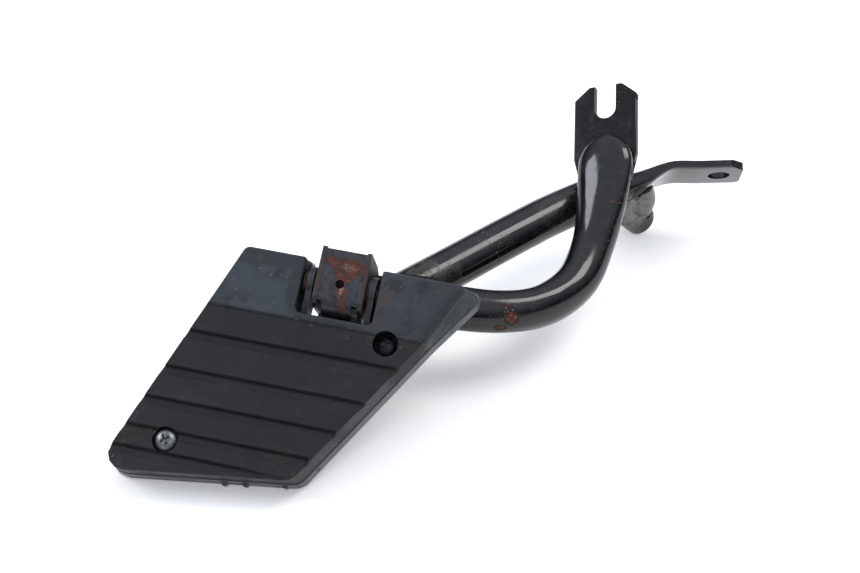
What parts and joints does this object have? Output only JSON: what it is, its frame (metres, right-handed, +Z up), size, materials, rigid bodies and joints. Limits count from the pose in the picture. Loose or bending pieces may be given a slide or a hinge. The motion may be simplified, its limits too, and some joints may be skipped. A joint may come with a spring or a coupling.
{
  "type": "folding passenger footboard",
  "caption": "Passenger footboard with a ribbed tread cover, hinged on a welded tubular bracket that ends in a slotted fork plate and a flattened bolt tab.",
  "frame": {"origin": "centre of the lying part's footprint box, on the surface it lies on", "axes": "+Z up from the surface it lies on, +X from the tread's outer end towards the flattened tab, +Y from the tread's lower edge towards the fork plate"},
  "size_m": [0.3702, 0.2544, 0.1068],
  "materials": {
    "gloss_paint": "gloss black paint on steel tube, chipped with rust spots",
    "worn_bracket": "worn dark coating on pressed steel with rust",
    "rusty_steel": "bare steel with surface rust",
    "tread_rubber": "matte charcoal moulded tread, dusty and lightly scratched",
    "tray_plastic": "matte dark grey moulded plastic",
    "zinc_screw": "worn zinc plating",
    "black_screw": "black plated steel"
  },
  "bodies": {
    "bracket": {"front_tube": "gloss_paint", "rear_tube": "gloss_paint", "fork_plate": "gloss_paint", "gusset_plate": "gloss_paint", "lug_strut": "gloss_paint", "lug_boss": "gloss_paint", "hinge_bracket": "worn_bracket", "pivot_pin": "rusty_steel", "pin_clip": "rusty_steel", "pivot_sleeve": "rusty_steel", "thrust_washer_left": "rusty_steel", "thrust_washer_right": "rusty_steel"},
    "footboard": {"core_plate": "worn_bracket", "tread_cover": "tread_rubber", "base_tray": "tray_plastic", "cover_screw_outer": "zinc_screw", "cover_screw_inner": "black_screw", "screw_washer_outer": "black_screw", "screw_washer_inner": "black_screw", "weld_nut_outer": "zinc_screw", "weld_nut_inner": "zinc_screw"}
  },
  "joints": [
    {"name": "board_fold", "type": "hinge", "parent": "bracket", "child": "footboard", "pos_m": [-0.05894, -0.03723, 0.07474], "axis": [-0.9769, 0.2049, 0.0602], "range_deg": [0, 85]}
  ]
}
